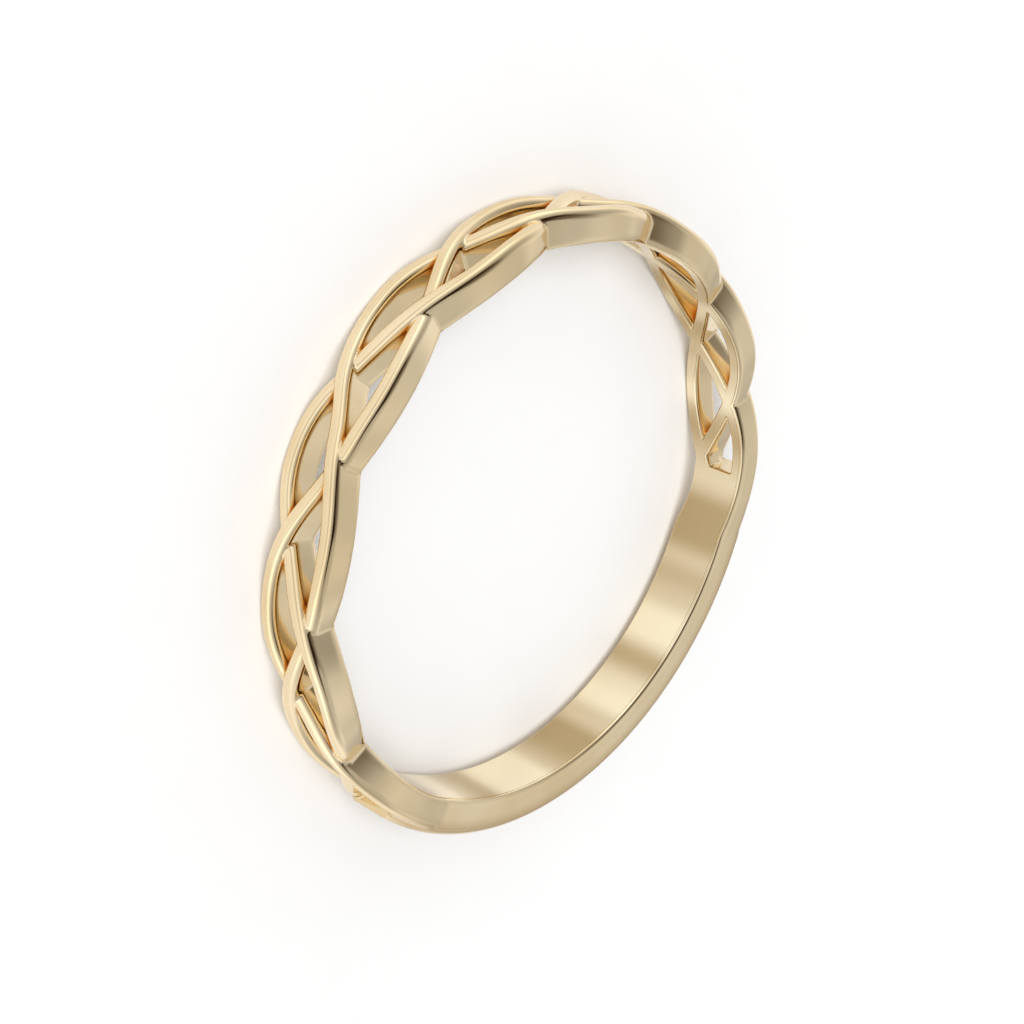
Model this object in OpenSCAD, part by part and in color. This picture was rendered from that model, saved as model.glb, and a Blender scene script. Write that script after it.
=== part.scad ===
// Braided band ring, cast in one piece: a three-strand braid round most of the finger, closed by a
// plain shank. The ring lies on its side. +Z is the ring's axis, z = 0 is the plane that the lower
// edge of the braid touches, and +Y points from the axis to the middle of the braid.

/* [Finger] */
// Inside diameter
bore_d = 17.3; // [15:0.1:22]

/* [Braid] */
// Width of one strand
strand_w = 0.5; // [0.44:0.02:0.64]
// How far a strand's centre line swings to each side of the middle of the band
swing = 1; // [0.9:0.05:1.2]
// Scallops along the upper edge
scallops = 9; // [5:1:11]
// Angle round the ring that one scallop takes
scallop_angle = 28.4; // [26:0.2:30]
// Height of a strand's crest over the bore where it passes over another strand
crest_over = 1.14; // [1.08:0.02:1.3]
// Height of a strand's crest over the bore where it passes under another strand
crest_under = 0.94; // [0.88:0.02:1.04]
// Height of the rounded top of a strand, above its flat side walls
dome = 0.3; // [0.2:0.02:0.36]
// Crossings between the middle of the braid and the place where the weave turns over
turn_after = 2; // [0:1:6]

/* [Shank] */
// Width of the plain shank
shank_w = 2; // [1.8:0.05:2.1]
// Thickness of the plain shank
shank_t = 1.25; // [1.15:0.05:1.4]
// Radius of the shank's two outer edges
shank_round = 0.3; // [0.1:0.05:0.4]
// Width of the shank's lower half where it leaves the braid
shoulder = 0.71; // [0.6:0.01:0.8]
// Angle from the peak of the last upper scallop to the straight end of the shank
shank_lead = 1.8; // [1.5:0.1:4]
// Angle from the peak of the last upper scallop to the place where it runs into the shank's edge
tail_angle = 15.5; // [12:0.5:17]
// Angle over which the strands sink into the shank
sink_angle = 13.5; // [10:0.5:15]
// Angle over which the shank's narrow lower shoulder widens
shoulder_angle = 12; // [10:0.5:15]

/* [Hidden] */

gold = [0.86, 0.72, 0.48];
bore_r = bore_d / 2;
half_w = strand_w / 2;
half_shank = shank_w / 2;
// The band's edge is where a scallop peaks
half_band = swing + half_w;
band_w = 2 * half_band;
// Everything is drawn this far inside the bore's wall, and the bore is cut last
root = 0.4;
overshoot = 1;

// The three strands share one wave, a third of a turn apart. A wave takes three scallops.
STRANDS = 3;
PHASE_STEP = 360 / STRANDS;
CROSSING_PHASE = 60;
last_peak = (scallops - 1) / 2 * scallop_angle;
turn_angle = (turn_after + 0.5) * scallop_angle / 2;
shank_from = last_peak + shank_lead;
// The crests of the strands end this far under the shank's surface
sunk = 0.12;
strand_end = shank_from + sink_angle + 1;
// The shoulder's lower edge runs along the last strand first, then widens
shoulder_from = shank_from + 5;
// The strand along the shoulder stays this far inside it
tuck = 0.02;
// Place in its wave of a strand whose upper side is level with the shank's upper edge
edge_phase = acos((half_shank - half_w) / swing);
// The shank's ends lean by this many degrees a millimetre, and the lean fades out along it
lean = 0.5;
lean_fade = 10;

strand_step = 1.8;
shank_step = 2.2;
dome_parts = 6;
round_parts = 4;

function ease(t) = let (u = min(1, max(0, t))) u * u * (3 - 2 * u);
function mix(a, b, t) = a + (b - a) * t;
function wrap(p) = p - 360 * floor(p / 360);

// Place of strand k in its wave at the angle a from the middle of the braid: 0 on the upper edge
function phase(a, k) = PHASE_STEP * (a / scallop_angle + k) + CROSSING_PHASE * (scallops - 1);
function angle_at(p, k) = ((p - CROSSING_PHASE * (scallops - 1)) / PHASE_STEP - k) * scallop_angle;

// A strand crosses another at every multiple of 60 degrees of its wave but 0 and 180. It is over
// (1) or under (-1) there, and in between at the two edges.
function over(n, k) =
    let (m = n - 3 * floor(n / 3), before_turn = angle_at(CROSSING_PHASE * n, k) < turn_angle)
    m == 0 ? (over(n - 1, k) + over(n + 1, k)) / 2 : (m == 1) == before_turn ? 1 : -1;

function height(a, k) =
    let (n = phase(a, k) / CROSSING_PHASE, i = floor(n), t = (1 - cos(180 * (n - i))) / 2,
         woven = mix(crest_under, crest_over, (1 + mix(over(i, k), over(i + 1, k), t)) / 2))
    mix(woven, shank_t - sunk, ease((abs(a) - shank_from) / sink_angle));

// Lower edge of the shank, as a distance from the middle of the band
function lower_edge(a) =
    mix(shoulder, half_shank, ease((abs(a) - shoulder_from) / shoulder_angle));

// Centre line of strand k. The strand of the last upper scallop comes down to the shank's edge,
// and the one that would swing out below once more runs along the shoulder instead.
function centre(a, k) =
    let (free = swing * cos(phase(a, k)), p = wrap(sign(a) * phase(a, k)), past = abs(a) - last_peak)
    past > 0 && p < 90 ? swing * cos(edge_phase * past / tail_angle)
    : past > -scallop_angle / 4 && p > 90 && p < 210 ? max(free, half_w + tuck - lower_edge(a))
    : free;

function slope(a, k) =
    let (d = 0.25) (centre(a + d, k) - centre(a - d, k)) / (2 * d * PI / 180 * bore_r);

// A point of the ring from its angle, its height in the band and its distance from the axis
function place(a, z, r) = [-r * sin(a), r * cos(a), half_band + z];

// Section of a strand across its path, as pairs of side offset and height over the bore
function strand_section(h) = concat(
    [[-half_w, -root], [half_w, -root]],
    [for (i = [0:dome_parts]) let (t = 180 * i / dome_parts)
        [half_w * cos(t), h - dome + dome * sin(t)]]);

function strand_ring(a, k) =
    let (s = slope(a, k), n = sqrt(1 + s * s), z = centre(a, k))
    [for (p = strand_section(height(a, k)))
        place(a - p.x * s / n / bore_r * 180 / PI, z + p.x / n, bore_r + p.y)];

// Section of the shank, as pairs of height in the band and height over the bore
function shank_ring(a) =
    let (low = -lower_edge(a), high = half_shank, c = shank_round)
    [for (p = concat(
        [[low, -root], [high, -root]],
        [for (i = [0:round_parts]) let (t = 90 * i / round_parts)
            [high - c + c * cos(t), shank_t - c + c * sin(t)]],
        [for (i = [0:round_parts]) let (t = 90 + 90 * i / round_parts)
            [low + c + c * cos(t), shank_t - c + c * sin(t)]]))
        place(a + lean * p.x * max(0, 1 - (a - shank_from) / lean_fade), p.x, bore_r + p.y)];

// A closed solid through a row of rings that have the same number of points
module loft(rings) {
    n = len(rings[0]);
    last = (len(rings) - 1) * n;
    sides = [for (i = [0:len(rings) - 2], j = [0:n - 1])
        let (a = i * n + j, b = i * n + (j + 1) % n)
        each [[a, a + n, b], [b, a + n, b + n]]];
    first_cap = [for (j = [1:n - 2]) [0, j, j + 1]];
    last_cap = [for (j = [1:n - 2]) [last, last + j + 1, last + j]];
    polyhedron(concat([for (r = rings) each r]), concat(sides, first_cap, last_cap));
}

module strand(k) {
    steps = ceil(2 * strand_end / strand_step);
    loft([for (i = [0:steps]) strand_ring(mix(-strand_end, strand_end, i / steps), k)]);
}

module shank() {
    span = 360 - 2 * shank_from;
    steps = ceil(span / shank_step);
    loft([for (i = [0:steps]) let (a = shank_from + span * i / steps)
        [for (p = shank_ring(a > 180 ? 360 - a : a)) a > 180 ? [-p.x, p.y, p.z] : p]]);
}

module braided_band() {
    color(gold)
    difference() {
        union() {
            shank();
            for (k = [0:STRANDS - 1]) strand(k);
        }
        translate([0, 0, -overshoot])
            cylinder(r = bore_r, h = band_w + 2 * overshoot, $fn = 180);
    }
}

braided_band();
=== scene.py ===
# %% [markdown]
# # A braided gold ring
#
# The ring is a single casting: three strands woven round most of the finger, joined at the back by
# a plain shank. Everything about it follows one rule, a wave that runs round the ring, so this
# lesson grows the metal from a formula inside Geometry Nodes instead of pushing vertices about.
# The first cell opens the frame, which holds the measured CAD ring that the piece replaces.

# %% The frame
import math

import bpy
import numpy as np
from mathutils import Matrix, Vector


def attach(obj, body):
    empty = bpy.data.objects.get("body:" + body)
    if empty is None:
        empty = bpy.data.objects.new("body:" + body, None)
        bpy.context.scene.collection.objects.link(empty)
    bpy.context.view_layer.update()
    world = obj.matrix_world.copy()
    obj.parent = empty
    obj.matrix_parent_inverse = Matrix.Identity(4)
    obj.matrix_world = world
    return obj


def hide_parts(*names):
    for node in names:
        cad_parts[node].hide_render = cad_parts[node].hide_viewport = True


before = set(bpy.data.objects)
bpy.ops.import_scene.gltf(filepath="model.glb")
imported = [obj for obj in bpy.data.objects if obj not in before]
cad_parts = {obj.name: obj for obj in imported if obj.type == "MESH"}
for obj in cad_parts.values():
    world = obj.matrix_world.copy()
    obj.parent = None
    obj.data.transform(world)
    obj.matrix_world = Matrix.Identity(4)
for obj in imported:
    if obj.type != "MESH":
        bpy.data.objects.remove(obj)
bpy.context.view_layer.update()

# %% [markdown]
# ## The sizes
#
# All lengths are in millimetres and all angles in degrees, as a jeweller would write them. The
# angles are measured round the finger from the middle of the braid. Each entry becomes a named
# input of the node tree, so the ring can be resized from the modifier panel while you experiment.

# %% The sizes of the ring
SIZES = {
    "Bore Radius": 8.65,
    "Strand Width": 0.5,
    "Swing": 1.0,
    "Scallop Angle": 28.4,
    "Crest Height": 1.04,
    "Lift": 0.1,
    "Dome": 0.3,
    "Turn Angle": 35.5,
    "Last Peak": 113.6,
    "Tail Angle": 15.5,
    "Sink Angle": 13.5,
    "Shank Width": 2.0,
    "Shank Thickness": 1.25,
    "Shank Round": 0.3,
    "Shank Lead": 1.8,
    "Shoulder": 0.71,
    "Shoulder Angle": 12.0,
    "Rim Round": 0.32,
    "Crease Round": 0.05,
}
HALF_BAND = SIZES["Swing"] + SIZES["Strand Width"] / 2
STRANDS = 3
TURN = 2.0 * math.pi
print("band", 2 * HALF_BAND, "mm wide, bore", 2 * SIZES["Bore Radius"], "mm across")

# %% [markdown]
# ## Arithmetic on sockets
#
# A formula drawn as hundreds of Math nodes is hard to read. This small class wraps a node's output,
# so that `a * b + 1` in Python adds the two Math nodes and links them. Both the shape and the
# material are written with it. Any node that isn't plain arithmetic goes through `node`. Below it
# are the few formulas that everything else uses: soft steps up and down, and a mix of two numbers.


# %% A value inside a node tree
class Field:
    """One output socket of a node. Arithmetic on it adds Math nodes to its tree."""

    def __init__(self, tree, socket):
        self.tree, self.socket = tree, socket

    def node(self, kind, inputs=None, out=0, **settings):
        """Adds a node, sets or links its inputs by name or number, and returns one output."""
        new = self.tree.nodes.new(kind)
        for name, value in settings.items():
            setattr(new, name, value)
        for key, value in (inputs or {}).items():
            if isinstance(value, Field):
                self.tree.links.new(value.socket, new.inputs[key])
            else:
                new.inputs[key].default_value = value
        return Field(self.tree, new.outputs[out])

    def math(self, operation, *others):
        return self.node("ShaderNodeMath", dict(enumerate([self, *others])), operation=operation)

    def __add__(self, other):
        return self.math("ADD", other)

    __radd__ = __add__

    def __sub__(self, other):
        return self.math("SUBTRACT", other)

    def __rsub__(self, other):
        return (self * -1.0) + other

    def __mul__(self, other):
        return self.math("MULTIPLY", other)

    __rmul__ = __mul__

    def __truediv__(self, other):
        return self.math("DIVIDE", other)

    def __rtruediv__(self, other):
        return self.math("POWER", -1.0) * other

    def __gt__(self, other):
        return self.math("GREATER_THAN", other)

    def __lt__(self, other):
        return self.math("LESS_THAN", other)


def combine(x, y, z):
    """A vector from three numbers, of which at least one is a field."""
    some = next(v for v in (x, y, z) if isinstance(v, Field))
    return some.node("ShaderNodeCombineXYZ", {0: x, 1: y, 2: z})


def separate(vector):
    """The three parts of a vector, each as a field."""
    return [vector.node("ShaderNodeSeparateXYZ", {0: vector}, out=i) for i in range(3)]


def ease(t):
    """0 to 1 with a soft start and end."""
    t = t.math("MAXIMUM", 0.0).math("MINIMUM", 1.0)
    return t * t * (3.0 - 2.0 * t)


def rise(value, start, width):
    """0 up to the start, growing softly to 1 over the width."""
    return ease((value - start) / width)


def fade(value, start, width):
    """1 up to the start, falling softly to 0 over the width."""
    return 1.0 - rise(value, start, width)


def mix(a, b, t):
    """A number between two others."""
    return a + t * (b - a)


print("arithmetic on sockets is ready")

# %% [markdown]
# ## One strand
#
# Unroll the ring flat: `u` runs round the finger, `v` across the band and `w` up from the bore. A
# strand's centre line is then a cosine in `v`. Where it passes over another strand its crest rises,
# and where it passes under, it sinks. On its way from one edge of the band to the other it goes
# over one neighbour and under the next, so that rise is a second wave at double the pace. The
# function returns how far a point is from the strand's skin: below zero is inside the metal. The
# section is a flat-sided wall with a rounded dome on top.

# %% The distance to one strand
# A strand that has swung past the middle is steered along the shoulder up to this place in its wave
SHOULDER_PHASE = math.radians(210)
# The strands' crests end this far under the shank's surface, in millimetres
SUNK = 0.12
# Degrees that a strand runs on once it has sunk
RUN_ON = 1.0
# The highest value of the product of two waves that lifts and sinks the crests
WEAVE_PEAK = math.sqrt(27) / 4


def strand_distance(s, k, angle, v, w, lower_edge):
    """Distance from a point to strand k, with the sizes s and the point's place in the ring."""
    away = angle.math("ABSOLUTE")
    side = (angle > 0.0) * 2.0 - 1.0
    phase = ((away / s["Scallop Angle"] + side * k) * (TURN / STRANDS)).math("WRAP", TURN, 0.0)
    per_mm = 180.0 / (math.pi * s["Bore Radius"])
    half = s["Strand Width"] * 0.5
    quarter = s["Scallop Angle"] * 0.25

    # The free wave, and its slope along the ring
    centre = phase.math("COSINE") * s["Swing"]
    slope = phase.math("SINE") * s["Swing"] * (-TURN / STRANDS) / s["Scallop Angle"] * per_mm

    # The last upper scallop comes down to the shank's edge over a longer stretch
    past = away - s["Last Peak"]
    edge = ((s["Shank Width"] * 0.5 - half) / s["Swing"]).math("ARCCOSINE")
    tail_phase = edge * past / s["Tail Angle"]
    in_tail = (past > 0.0) * (phase < math.pi / 2)
    centre = mix(centre, tail_phase.math("COSINE") * s["Swing"], in_tail)
    tail_slope = tail_phase.math("SINE") * s["Swing"] * -1.0 * edge / s["Tail Angle"] * per_mm
    slope = mix(slope, tail_slope, in_tail)

    # The strand that would swing out below once more runs along the shoulder instead
    low = half - lower_edge
    along = (past > quarter * -1.0) * (phase > math.pi / 2) * (phase < SHOULDER_PHASE)
    along = along * (low > centre)
    centre = mix(centre, low, along)
    slope = slope * (1.0 - along)

    # The crest, which sinks into the shank at the end. The weave turns over at one place
    flip = 1.0 - 2.0 * ease((angle - s["Turn Angle"] + quarter) / (quarter * 2.0))
    double = phase * side * 2.0
    weave = double.math("SINE") * (1.0 - double.math("COSINE")) * (1 / WEAVE_PEAK) * flip
    sunk = rise(past, s["Shank Lead"], s["Sink Angle"])
    crest = mix(s["Crest Height"] + s["Lift"] * weave, s["Shank Thickness"] - SUNK, sunk)

    # The section, whose sides run straight down below the dome
    across = (v - centre) / (slope * slope + 1.0).math("SQRT") / half
    up = ((w - crest + s["Dome"]) / s["Dome"]).math("MAXIMUM", 0.0)
    skin = ((across * across + up * up).math("SQRT") - 1.0) * half
    end = (past - s["Shank Lead"] - s["Sink Angle"] - RUN_ON) / per_mm
    return skin.math("MAXIMUM", end)


print(STRANDS, "strands share one distance formula")

# %% [markdown]
# ## The whole casting as one distance
#
# Molten gold has no inside corners, so the strands and the shank are joined with a smooth minimum,
# which leaves a small fillet in every crease. The finger bore is cut with a smooth maximum, which
# rounds its rim and the rims of the pierced gaps. The shank itself is a bar with two rounded edges:
# the distance to a smaller box, less the radius.


# %% The distance to the shank
def shank_distance(s, angle, v, w, lower_edge):
    """Distance to the plain shank, a bar with two rounded outer edges and a straight end."""
    upper = s["Shank Width"] * 0.5
    middle, half = (upper - lower_edge) * 0.5, (upper + lower_edge) * 0.5
    r = s["Shank Round"]
    x = (v - middle).math("ABSOLUTE") - half + r
    y = w - s["Shank Thickness"] + r
    over_x, over_y = x.math("MAXIMUM", 0.0), y.math("MAXIMUM", 0.0)
    outside = (over_x * over_x + over_y * over_y).math("SQRT")
    bar = outside + x.math("MAXIMUM", y).math("MINIMUM", 0.0) - r
    short_by = s["Last Peak"] + s["Shank Lead"] - angle.math("ABSOLUTE")
    end = short_by * s["Bore Radius"] * (math.pi / 180)
    return bar.math("SMOOTH_MAX", end, s["Crease Round"])


print("the shank is", SIZES["Shank Width"], "by", SIZES["Shank Thickness"], "mm")

# %% [markdown]
# ## A node group for the distance
#
# The tree asks for this distance many times, so it is packed into a node group of its own, with the
# sizes as named inputs. The group has a second output for the material: how many parts of the metal
# crowd round a point, which is more than one only in the corners between them.

# %% The group that measures the distance to the metal
# Nearness to a part falls by this many powers of e in a millimetre
NEARNESS_FALL = 7.0
# Degrees of the shank along which its shoulder keeps its first width
SHOULDER_WAIT = 5.0


def nearness(distance):
    """1 on the skin of a part, falling to nothing a few tenths of a millimetre away."""
    return (distance.math("MAXIMUM", 0.0) * -NEARNESS_FALL).math("EXPONENT")


metal = bpy.data.node_groups.new("distance_to_metal", "GeometryNodeTree")
metal.interface.new_socket("Place", in_out="INPUT", socket_type="NodeSocketVector")
for name in SIZES:
    metal.interface.new_socket(name, in_out="INPUT", socket_type="NodeSocketFloat")
metal.interface.new_socket("Distance", in_out="OUTPUT", socket_type="NodeSocketFloat")
metal.interface.new_socket("Crowding", in_out="OUTPUT", socket_type="NodeSocketFloat")
entry = metal.nodes.new("NodeGroupInput")
size = {name: Field(metal, entry.outputs[name]) for name in SIZES}
u, v, w = separate(Field(metal, entry.outputs["Place"]))
angle = u / size["Bore Radius"] * (180 / math.pi)
shoulder_from = size["Last Peak"] + size["Shank Lead"] + SHOULDER_WAIT
widened = rise(angle.math("ABSOLUTE"), shoulder_from, size["Shoulder Angle"])
lower_edge = mix(size["Shoulder"], size["Shank Width"] * 0.5, widened)
total = shank_distance(size, angle, v, w, lower_edge)
crowding = nearness(total)
for k in range(STRANDS):
    strand = strand_distance(size, k, angle, v, w, lower_edge)
    crowding = crowding + nearness(strand)
    total = total.math("SMOOTH_MIN", strand, size["Crease Round"])
total = total.math("SMOOTH_MAX", w * -1.0, size["Rim Round"])
exit_node = metal.nodes.new("NodeGroupOutput")
metal.links.new(total.socket, exit_node.inputs["Distance"])
metal.links.new(crowding.socket, exit_node.inputs["Crowding"])
print("the distance group has", len(metal.nodes), "nodes")

# %% [markdown]
# ## The tree and its questions
#
# The ring grows in a Geometry Nodes tree that has every size as a named input. Two helpers put
# questions to the distance group: how far is the metal from a place, and in which direction does
# that distance grow fastest. The second comes from samples a hair to both sides along each axis.

# %% The tree's inputs and its helpers
# Half the distance in millimetres between the two samples of a gradient
PROBE = 0.004
tree = bpy.data.node_groups.new("braided_band", "GeometryNodeTree")
tree.interface.new_socket("Geometry", in_out="INPUT", socket_type="NodeSocketGeometry")
tree.interface.new_socket("Material", in_out="INPUT", socket_type="NodeSocketMaterial")
for name, value in SIZES.items():
    number = tree.interface.new_socket(name, in_out="INPUT", socket_type="NodeSocketFloat")
    number.default_value = value
tree.interface.new_socket("Geometry", in_out="OUTPUT", socket_type="NodeSocketGeometry")
entry = tree.nodes.new("NodeGroupInput")
size = {name: Field(tree, entry.outputs[name]) for name in SIZES}


def distance(place, out=0):
    """The group's answer for a place: 0 for the distance, 1 for the crowding."""
    group = place.tree.nodes.new("GeometryNodeGroup")
    group.node_tree = metal
    place.tree.links.new(place.socket, group.inputs["Place"])
    for name, value in size.items():
        place.tree.links.new(value.socket, group.inputs[name])
    return Field(place.tree, group.outputs[out])


def shifted(place, axis, step):
    """A place moved by a step along one axis."""
    offset = [0.0, 0.0, 0.0]
    offset[axis] = step
    return place.node("ShaderNodeVectorMath", {0: place, 1: offset}, operation="ADD")


def gradient(place):
    """The direction in which the distance grows fastest, from samples on both sides."""
    return [(distance(shifted(place, i, PROBE)) - distance(shifted(place, i, -PROBE))) / (2 * PROBE)
            for i in range(3)]


print("the tree has", len(size), "named sizes")

# %% [markdown]
# ## From formula to mesh
#
# A Volume Cube samples the distance on a grid, over the ring's unrolled strip with a little room to
# spare, and Volume to Mesh pulls a skin through it where the density is one half. The strip reaches
# a few cells past a full turn, and is then trimmed to it, so that its two ends can meet.

# %% The skin of the unrolled strip
# Cells round the ring, and past its two ends together
CELLS_ROUND, SPARE_CELLS = 500, 5
# Size of a cell across the band and upwards, and the room round the metal, in millimetres
CELL_ACROSS, SPARE = 0.054, 0.15
# The height in millimetres that the grid's layers are counted for, and how many lifts the box holds
HIGHEST, LIFT_ROOM = 1.3, 1.3
# The density changes by this much in a millimetre, and the skin lies where it is one half
SHARPNESS, ON_SKIN = 2.5, 0.5
# A vertex this share of a cell from the end of the turn counts as being on it
AT_END = 0.3

bore_radius = size["Bore Radius"]
half_turn = bore_radius * math.pi
cell = half_turn * 2 / CELLS_ROUND
reach = half_turn + cell * (SPARE_CELLS / 2)
crest = size["Crest Height"] + size["Lift"] * LIFT_ROOM
high = size["Shank Thickness"].math("MAXIMUM", crest) + SPARE
wide = size["Swing"] + size["Strand Width"] * 0.5 + SPARE
place = bore_radius.node("GeometryNodeInputPosition")
density = ON_SKIN - distance(place) * SHARPNESS
rows = int(2 * (HALF_BAND + SPARE) / CELL_ACROSS)
layers = int((HIGHEST + 2 * SPARE) / CELL_ACROSS)
volume = bore_radius.node("GeometryNodeVolumeCube", {
    "Density": density.math("MAXIMUM", 0.0).math("MINIMUM", 1.0),
    "Min": combine(reach * -1.0, wide * -1.0, -SPARE), "Max": combine(reach, wide, high),
    "Resolution X": CELLS_ROUND + SPARE_CELLS + 1, "Resolution Y": rows, "Resolution Z": layers})
skin = volume.node("GeometryNodeVolumeToMesh", {"Volume": volume, "Threshold": ON_SKIN})

# Trim the strip to exactly one turn
u, v, w = separate(place)
skin = skin.node("GeometryNodeDeleteGeometry", {
    "Geometry": skin, "Selection": u.math("ABSOLUTE") > half_turn + cell * AT_END})
ends = u.math("ABSOLUTE") > half_turn - cell * AT_END
skin = skin.node("GeometryNodeSetPosition", {
    "Geometry": skin, "Selection": ends, "Position": combine(u.math("SIGN") * half_turn, v, w)})
print("a grid of", CELLS_ROUND, "by", rows, "by", layers, "cells")

# %% [markdown]
# ## On to the true surface
#
# The grid leaves the skin a hair off. Newton's method mends that: each vertex moves along the
# gradient by its distance over the gradient's length, three times in all. In a crease the gradient
# can be short, so a lower limit on its square keeps the step from running away.

# %% Three steps of Newton's method
NEWTON_STEPS = 3
# The least that the square of the gradient's length is taken for
SHORTEST = 0.3
for _ in range(NEWTON_STEPS):
    slope = gradient(place)
    length2 = slope[0] * slope[0] + slope[1] * slope[1] + slope[2] * slope[2]
    back = distance(place).math("MULTIPLY", -1.0) / length2.math("MAXIMUM", SHORTEST)
    skin = skin.node("GeometryNodeSetPosition", {
        "Geometry": skin, "Offset": combine(slope[0] * back, slope[1] * back, slope[2] * back)})
print("each vertex takes", NEWTON_STEPS, "steps")

# %% [markdown]
# ## Exact normals
#
# Normals matter more on polished gold than anything else, because a mirror shows every small error.
# The gradient is the exact normal of the strip, and bending the strip round the finger turns it. It
# is stored on the mesh as an attribute before the bend, since the formula knows only the strip.

# %% The normals of the formula
slope = gradient(place)
a = u / bore_radius
radius = bore_radius + w
sine, cosine = a.math("SINE"), a.math("COSINE")
along, outward = slope[0] * bore_radius / radius, slope[2]
normal = combine(along * cosine * -1.0 - outward * sine, outward * cosine - along * sine, slope[1])
normal = normal.node("ShaderNodeVectorMath", {0: normal}, operation="NORMALIZE")


def remember(geometry, name, value, kind="FLOAT"):
    """Leaves a value on every vertex under a name."""
    return geometry.node("GeometryNodeStoreNamedAttribute",
                         {"Geometry": geometry, "Name": name, "Value": value},
                         data_type=kind, domain="POINT")


skin = remember(skin, "true_normal", normal, "FLOAT_VECTOR")
print("the normals turn with the strip")

# %% [markdown]
# ## What the material needs to know
#
# Two more numbers are left on the mesh. One marks the bore's wall. The other marks the narrow
# corners of the pierced gaps, where two strands close in: away from the band's two edges, between
# the crossings and not at them, and neither at the rim of the bore nor up on the domes.

# %% The marks on the bore and in the corners
BORE_SKIN = 0.1
# Places across the band and up from the bore, in millimetres, as the start of a mark and its blend
EDGE_FROM, EDGE_BLEND = 0.5, 0.2
CORNER_FROM, CORNER_BLEND = 0.1, 0.4
DOME_FROM, DOME_BLEND = 0.8, 0.2
# Height of the wave that peaks at each crossing above which a corner isn't marked
BESIDE = 0.7

# The skin is always near one part, so what the crowding has beyond 1 comes from a second one
crease = (distance(place, 1) - 1.0).math("MAXIMUM", 0.0).math("MINIMUM", 1.0)
crease = crease * fade(v.math("ABSOLUTE"), EDGE_FROM, EDGE_BLEND)
# Crossings lie half a scallop apart
crossing = (u / bore_radius * (180 / math.pi) / size["Scallop Angle"] * (2 * TURN)).math("COSINE")
crease = crease * ease((BESIDE - crossing) / BESIDE)
crease = crease * rise(w, CORNER_FROM, CORNER_BLEND) * fade(w, DOME_FROM, DOME_BLEND)
skin = remember(skin, "crease", crease)
skin = remember(skin, "bore", fade(w, 0.0, BORE_SKIN))
print("the bore and the corners are marked")

# %% [markdown]
# ## Round the finger
#
# Only now is the strip wrapped round the finger, in metres, and its two ends are welded in the
# middle of the plain shank, where nothing changes. The tree closes with Realize Instances and Set
# Material, so that what it gives is one plain mesh with its finish.

# %% The end of the tree
METRES = 0.001
# Vertices nearer than this, in metres, become one
WELD = 2e-6
wrapped = combine(radius * sine * -METRES, radius * cosine * METRES, (v + HALF_BAND) * METRES)
skin = skin.node("GeometryNodeSetPosition", {"Geometry": skin, "Position": wrapped})
skin = skin.node("GeometryNodeMergeByDistance", {"Geometry": skin, "Distance": WELD})
skin = skin.node("GeometryNodeSetShadeSmooth", {"Geometry": skin})
skin = skin.node("GeometryNodeRealizeInstances", {"Geometry": skin})
skin = skin.node("GeometryNodeSetMaterial", {
    "Geometry": skin, "Material": Field(tree, entry.outputs["Material"])})
exit_node = tree.nodes.new("NodeGroupOutput")
tree.links.new(skin.socket, exit_node.inputs["Geometry"])
print("the ring's tree has", len(tree.nodes), "nodes")

# %% [markdown]
# ## Noise and colour
#
# Every finish in this scene is mixed from a few noises. Object coordinates keep them fixed to the
# metal when the camera moves. One helper reads a noise, one reads a number that the geometry tree
# left on the mesh, and one blends two colours.

# %% Helpers for the materials
gold = bpy.data.materials.new("yellow_gold")
gold.use_nodes = True
shader = gold.node_tree.nodes["Principled BSDF"]
coords = Field(gold.node_tree, gold.node_tree.nodes.new("ShaderNodeTexCoord").outputs["Object"])


def noise(vector, scale, detail=3.0, stretch=(1.0, 1.0, 1.0)):
    """A soft noise, with its detail and with a stretch for each axis."""
    moved = vector.node("ShaderNodeVectorMath", {0: vector, 1: stretch}, operation="MULTIPLY")
    return moved.node("ShaderNodeTexNoise", {"Vector": moved, "Scale": scale, "Detail": detail})


def stored(name):
    """A number that the geometry tree left on the mesh."""
    return coords.node("ShaderNodeAttribute", out=2, attribute_name=name)


def blend(amount, first, second):
    """A colour between two others, each given as linear RGB or as a field."""
    ends = {i: c if isinstance(c, Field) else (*c, 1.0) for i, c in ((6, first), (7, second))}
    return amount.node("ShaderNodeMix", {0: amount, **ends}, out=2, data_type="RGBA")


print("material", gold.name, "starts with", len(gold.node_tree.nodes), "nodes")

# %% [markdown]
# ## The polished gold
#
# Fourteen karat yellow gold is a pale champagne metal. A polisher leaves it almost a mirror, but
# never quite: the tone drifts a little over each surface, which a soft noise gives. The shank's
# outer edge is painted a little deeper, a painted shade that darkens it towards the outside. How
# far out a place lies is its distance from the axis, and the shank is simply what lies far back.

# %% The gold outside the bore
CHAMPAGNE, PALE_CHAMPAGNE = (0.80, 0.630, 0.375), (0.90, 0.740, 0.490)
# Painted shade: the shank's outer edge is darkened towards the outside
PAINTED_EDGE_SHADE, PAINTED_EDGE_SHADE_AMOUNT = (0.50, 0.35, 0.165), 0.8
# Where a tone starts and the width of its blend: of the noise, and in millimetres from the bore
# outwards and from the axis backwards
DRIFT_FROM, DRIFT_BLEND = 0.3, 0.4
EDGE_SHADE_FROM, EDGE_SHADE_BLEND = 0.55, 0.7
SHANK_FROM, SHANK_BLEND = 3.8, 1.6
drift = noise(coords, 260.0)
outside = blend(rise(drift, DRIFT_FROM, DRIFT_BLEND), CHAMPAGNE, PALE_CHAMPAGNE)

x, y, _ = separate(coords)
from_bore = (x * x + y * y).math("SQRT") / METRES - SIZES["Bore Radius"]
on_shank = rise(y / -METRES, SHANK_FROM, SHANK_BLEND)
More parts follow.
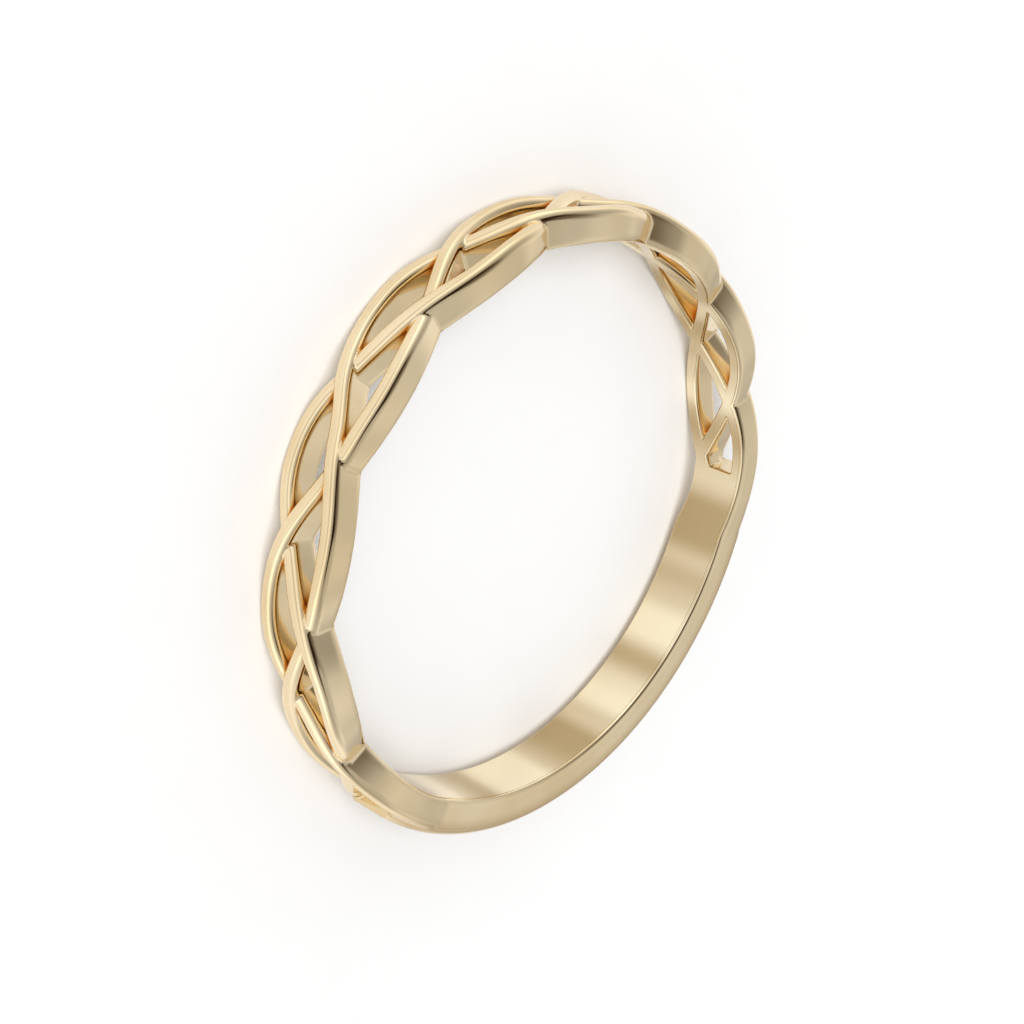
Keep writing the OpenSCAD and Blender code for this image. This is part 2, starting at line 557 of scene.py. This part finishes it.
# The painted shade grows outwards from the bore, on the shank only
painted_edge_shade = rise(from_bore, EDGE_SHADE_FROM, EDGE_SHADE_BLEND) * on_shank
outside = blend(painted_edge_shade * PAINTED_EDGE_SHADE_AMOUNT, outside, PAINTED_EDGE_SHADE)
print("champagne outside, deeper on the shank's outer edge")

# %% [markdown]
# ## Painted reflection bands in the bore
#
# Inside the finger hole the tone is painted in broad lighter and darker bands: a painted reflection
# that stands in for the bands a polished bore mirrors. The noise that makes them doesn't change
# along the ring's axis, so each band runs straight across the bore, and because it reads places and
# not angles it has no seam.

# %% The gold inside the bore
# Painted reflection: dark and light bands in the bore's colour stand in for mirrored surroundings
DARK_REFLECTION_BAND, LIGHT_REFLECTION_BAND = (0.50, 0.37, 0.195), (0.98, 0.86, 0.62)
REFLECTION_BANDS_A_METRE, REFLECTION_BANDS_START = (460.0, 460.0, 0.0), (11.0, 41.0, 0.0)
REFLECTION_BAND_FROM, REFLECTION_BAND_BLEND = 0.26, 0.5
around = coords.node("ShaderNodeVectorMath", {0: coords, 1: REFLECTION_BANDS_A_METRE, 2: REFLECTION_BANDS_START},
                     operation="MULTIPLY_ADD")
reflection_bands = around.node("ShaderNodeTexNoise", {"Vector": around, "Scale": 1.0, "Detail": 1.0},
                     noise_dimensions="2D")
bore = blend(rise(reflection_bands, REFLECTION_BAND_FROM, REFLECTION_BAND_BLEND), DARK_REFLECTION_BAND, LIGHT_REFLECTION_BAND)
clean = blend(stored("bore"), outside, bore)
print("light and dark bands in the bore")

# %% [markdown]
# ## The amber corners
#
# In the narrow corners of the pierced gaps light bounces from gold to gold, and each bounce takes
# more blue and green out of it. A render follows only some of those bounces, so the mark that the
# tree left there helps the colour on to a deep amber.

# %% The gold in the corners
AMBER, AMBER_AMOUNT, AMBER_REACH = (0.62, 0.29, 0.045), 0.9, 2.6
deep = ease(stored("crease") * AMBER_REACH)
tone = blend(deep * AMBER_AMOUNT, clean, AMBER)
print("amber in the corners")

# %% [markdown]
# ## The finish
#
# Roughness drifts with the tone, so a paler place also reflects a little more softly. The wheel
# leaves hair lines that only show where a reflection ends: they are a noise stretched round the
# band, fed to a very weak bump. The corners between the strands, which the felt doesn't reach, stay
# a little rougher.

# %% Roughness and hair lines
HAIR_SCALE, HAIR_DETAIL, HAIR_STRETCH = 900.0, 5.0, (1.0, 1.0, 14.0)
HAIR_STRENGTH, HAIR_DEPTH = 0.02, 0.00001
POLISHED, DRIFT_ROUGH, HAIR_ROUGH, CORNER_ROUGH = 0.075, 0.05, 0.03, 0.1
lines = noise(coords, HAIR_SCALE, HAIR_DETAIL, HAIR_STRETCH)
rough = drift * DRIFT_ROUGH + lines * HAIR_ROUGH + deep * CORNER_ROUGH + POLISHED
bump = lines.node("ShaderNodeBump",
                  {"Strength": HAIR_STRENGTH, "Distance": HAIR_DEPTH, "Height": lines})
shader.inputs["Metallic"].default_value = 1.0
for name, value in (("Base Color", tone), ("Roughness", rough), ("Normal", bump)):
    gold.node_tree.links.new(value.socket, shader.inputs[name])
print("the gold has", len(gold.node_tree.nodes), "nodes")

# %% [markdown]
# ## Growing the piece
#
# The tree runs once on an empty mesh, with each size given to its input by the socket's identifier.
# The evaluated result is kept as a plain mesh and the modifier is dropped with its carrier, so what
# the rest of the script handles is ordinary geometry.

# %% The ring's mesh
carrier = bpy.data.objects.new("grow", bpy.data.meshes.new("grow"))
bpy.context.collection.objects.link(carrier)
modifier = carrier.modifiers.new("braid", "NODES")
modifier.node_group = tree
for item in tree.interface.items_tree:
    if item.in_out == "INPUT" and item.name in SIZES:
        modifier[item.identifier] = SIZES[item.name]
    elif item.in_out == "INPUT" and item.name == "Material":
        modifier[item.identifier] = gold
evaluated = carrier.evaluated_get(bpy.context.evaluated_depsgraph_get())
mesh = bpy.data.meshes.new_from_object(evaluated)
mesh.name = "braided_ring"
bpy.data.objects.remove(carrier)
print("the ring has", len(mesh.vertices), "vertices and", len(mesh.polygons), "faces")

# %% [markdown]
# ## In the CAD ring's place
#
# The stored normals are handed to the mesh, and the attribute that carried them is dropped. The
# finished piece then rides on the ring's one body and takes the place of the CAD node.

# %% The finished ring
normals = np.empty(len(mesh.vertices) * 3)
mesh.attributes["true_normal"].data.foreach_get("vector", normals)
mesh.normals_split_custom_set_from_vertices(normals.reshape(-1, 3))
mesh.attributes.remove(mesh.attributes["true_normal"])
ring = bpy.data.objects.new("braided_ring", mesh)
bpy.context.collection.objects.link(ring)
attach(ring, "root")
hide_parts("braided_band")
print(ring.name, "replaces the CAD band")

# %% [markdown]
# ## The table
#
# Jewellery is shot on a sheet of white paper. Paper has a faint grain, so a fine noise moves its
# tone and its roughness by a few percent.

# %% The sheet of paper
PAPER_WIDTH = 1.2
PAPER_DARK, PAPER_LIGHT = (0.93, 0.93, 0.93), (0.96, 0.96, 0.96)
PAPER_ROUGH, GRAIN_ROUGH, GRAIN_SCALE = 0.6, 0.1, 400.0
bpy.ops.mesh.primitive_plane_add(size=PAPER_WIDTH, location=(0, 0, 0))
floor = bpy.context.active_object
floor.name = "floor"
paper = bpy.data.materials.new("white_paper")
paper.use_nodes = True
shader = paper.node_tree.nodes["Principled BSDF"]
on_paper = Field(paper.node_tree, paper.node_tree.nodes.new("ShaderNodeTexCoord").outputs["Object"])
grain = noise(on_paper, GRAIN_SCALE)
shade = blend(grain, PAPER_DARK, PAPER_LIGHT)
paper.node_tree.links.new(shade.socket, shader.inputs["Base Color"])
rough = grain * GRAIN_ROUGH + PAPER_ROUGH
paper.node_tree.links.new(rough.socket, shader.inputs["Roughness"])
floor.data.materials.append(paper)
print("the paper is", round(floor.dimensions.x, 2), "m wide")

# %% [markdown]
# ## Directions in the studio
#
# Polished metal shows nothing but what is around it, so its look is painted on the world. Each
# patch of light or dark is a range of angles round some direction. These helpers measure the angle
# from a direction, which is a dot product and an arc cosine, and turn a range into a soft band.

# %% Angles and bands
world = bpy.data.worlds.new("studio")
bpy.context.scene.world = world
world.use_nodes = True
background = world.node_tree.nodes["Background"]
sky = Field(world.node_tree, world.node_tree.nodes.new("ShaderNodeTexCoord").outputs["Generated"])


def toward(azimuth, elevation):
    """A direction from the ring, with the azimuth in degrees from +X."""
    a, e = math.radians(azimuth), math.radians(elevation)
    return (math.cos(a) * math.cos(e), math.sin(a) * math.cos(e), math.sin(e))


def angle_from(azimuth, elevation):
    """How many degrees each direction of the surroundings is away from one direction."""
    dot = sky.node("ShaderNodeVectorMath", {0: sky, 1: toward(azimuth, elevation)}, out=1,
                   operation="DOT_PRODUCT")
    return dot.math("ARCCOSINE") * (180 / math.pi)


def band(value, start, end, soft):
    """1 between two values and 0 outside, with soft edges."""
    return rise(value, start - soft / 2, soft) * fade(value, end - soft / 2, soft)


elevation = 90.0 - angle_from(0, 90)
print("directions are measured from the ring, at the middle of the studio")

# %% [markdown]
# ## What the metal sees
#
# The flat side walls of the strands all mirror one direction, so everything is placed by its angle
# from there. The surroundings are bright near the horizon and calmer overhead. Far from the walls'
# direction a bright band and a thin grey line give the cream highlights on the crests. A soft card
# hangs where the walls look, and fills them with one even tone.

# %% The surroundings and the card
# Directions are an azimuth and an elevation, and all ranges are angles, in degrees
WALLS_SEE = (-52, 38)
CARD_MIDDLE = (-62, 43)
HORIZON, OVERHEAD, OVERHEAD_FROM = 1.1, 0.6, 55.0
# A band is its start, its end and the softness of its edges
BRIGHT_BAND, BRIGHTER = (84.0, 104.0, 12.0), 0.5
GREY_LINE, DIMMER = (110.0, 113.0, 5.0), 0.4
# The card's brightness in its middle and away from it, and the start and width of its edge
CARD_LIGHT, CARD_DARK, CARD_REACH = 0.8, 0.69, 20.0
CARD_EDGE = (16.0, 12.0)
behind = angle_from(*WALLS_SEE)
level = mix(HORIZON, OVERHEAD, ease(elevation / OVERHEAD_FROM))
level = level + BRIGHTER * band(behind, *BRIGHT_BAND)
level = level * (1.0 - DIMMER * band(behind, *GREY_LINE))
card = mix(CARD_LIGHT, CARD_DARK, ease(angle_from(*CARD_MIDDLE) / CARD_REACH))
level = mix(level, card, fade(behind, *CARD_EDGE))
print("the side walls look toward azimuth", WALLS_SEE[0], "and elevation", WALLS_SEE[1])

# %% [markdown]
# ## The dark arc
#
# Polished gold looks like metal because of its darks. An arc past the card draws the dark lines
# along the domes. It is faint near the horizon and full high up, and it is broken in one place,
# where the photograph's lines stop. A softer patch high up shades the walls just past each notch,
# and a band near the horizon shades the lower edges of the shank.

# %% The arc, the patch and the low band
# Each step is its start and its width in degrees, from the walls' direction or of elevation
ARC_STARTS, ARC_ENDS = (28.0, 16.0), (60.0, 14.0)
FAINT_FROM, FULL_FROM, FAINT = (5.0, 20.0), (48.0, 18.0), 0.35
BREAK_MIDDLE, BREAK_EDGE, IN_BREAK = (-93, 62), (16.0, 10.0), 0.1
PATCH_MIDDLE, PATCH_EDGE, ARC_IN_PATCH = (-12, 69), (10.0, 10.0), 0.5
LOW_EDGE, LOW_GAP, LOW_GAP_EDGE = (4.0, 26.0), (-60, 5), (14.0, 26.0)
ARC_DARK, PATCH_DARK, LOW_DARK = 0.96, 0.33, 0.5
arc = rise(behind, *ARC_STARTS) * fade(behind, *ARC_ENDS)
arc = arc * (FAINT * rise(elevation, *FAINT_FROM) + (1 - FAINT) * rise(elevation, *FULL_FROM))
arc = arc * mix(IN_BREAK, 1.0, rise(angle_from(*BREAK_MIDDLE), *BREAK_EDGE))
patch = fade(angle_from(*PATCH_MIDDLE), *PATCH_EDGE)
arc = arc * (1.0 - ARC_IN_PATCH * patch)
low = fade(elevation, *LOW_EDGE) * fade(angle_from(*LOW_GAP), *LOW_GAP_EDGE)
level = level * (1.0 - ARC_DARK * arc) * (1.0 - PATCH_DARK * patch) * (1.0 - LOW_DARK * low)
print("the arc takes away", round(100 * ARC_DARK), "percent of the light")

# %% [markdown]
# ## From brightness to colour
#
# Dark tones go brown, as gold that reflects gold does, and bright ones stay white. The camera sees
# plain white behind the paper, so low views of the ring keep a clean backdrop.

# %% The colour of the surroundings
WHITE, BROWN = (1.0, 1.0, 1.0), (0.5, 0.3, 0.15)
# The brightness below which a tone turns brown
BROWN_BELOW = 0.5
tint = blend(ease(level / BROWN_BELOW), BROWN, WHITE)
tint = tint.node("ShaderNodeVectorMath", {0: tint, 3: level}, operation="SCALE")
seen = sky.node("ShaderNodeLightPath", out="Is Camera Ray")
tint = blend(seen, tint, WHITE)
world.node_tree.links.new(tint.socket, background.inputs["Color"])
background.inputs["Strength"].default_value = 1.0
print("the surroundings have", len(world.node_tree.nodes), "nodes")

# %% [markdown]
# ## The lamp
#
# One large lamp, high behind the camera, lays a faint soft shadow on the paper. It is hidden from
# reflections, because its own image would burn white streaks into the domes, and the world already
# holds what the metal should show. The plain view transform keeps the paper a clean white.

# %% The sun lamp
LAMP_FROM, LAMP_WIDTH, LAMP_ENERGY = (122, 58), 40, 1.6
sun = bpy.data.objects.new("sun", bpy.data.lights.new("sun", "SUN"))
sun.data.energy, sun.data.angle = LAMP_ENERGY, math.radians(LAMP_WIDTH)
sun.rotation_euler = Vector(toward(*LAMP_FROM)).to_track_quat("Z", "Y").to_euler()
sun.visible_glossy = False
bpy.context.collection.objects.link(sun)
bpy.context.scene.view_settings.view_transform = "Standard"
print("the lamp is", LAMP_WIDTH, "degrees wide")

# %% [markdown]
# ## The camera
#
# The photograph looks down at the ring from the outer side of its braid. The camera stands at the
# same place in the ring's own space, a long lens some fifty millimetres away, and is rolled so that
# the ring leans in the picture as it does in the photograph.

# %% The camera
# Places in millimetres, made metres
EYE = Vector((-26.557, 33.928, 33.796)) * METRES
AIM = Vector((-0.838, 0.905, 1.25)) * METRES
ROLL = math.radians(-113.23)
SENSOR, LENS = 36, 63.28
camera = bpy.data.objects.new("camera", bpy.data.cameras.new("camera"))
camera.data.sensor_width, camera.data.lens = SENSOR, LENS
camera.data.clip_start, camera.data.clip_end = 0.001, 10
upright = (AIM - EYE).to_track_quat("-Z", "Y").to_matrix().to_4x4()
camera.matrix_world = Matrix.Translation(EYE) @ upright @ Matrix.Rotation(-ROLL, 4, "Z")
bpy.context.collection.objects.link(camera)
bpy.context.scene.camera = camera
print("camera", round((AIM - EYE).length / METRES, 1), "mm from the ring")
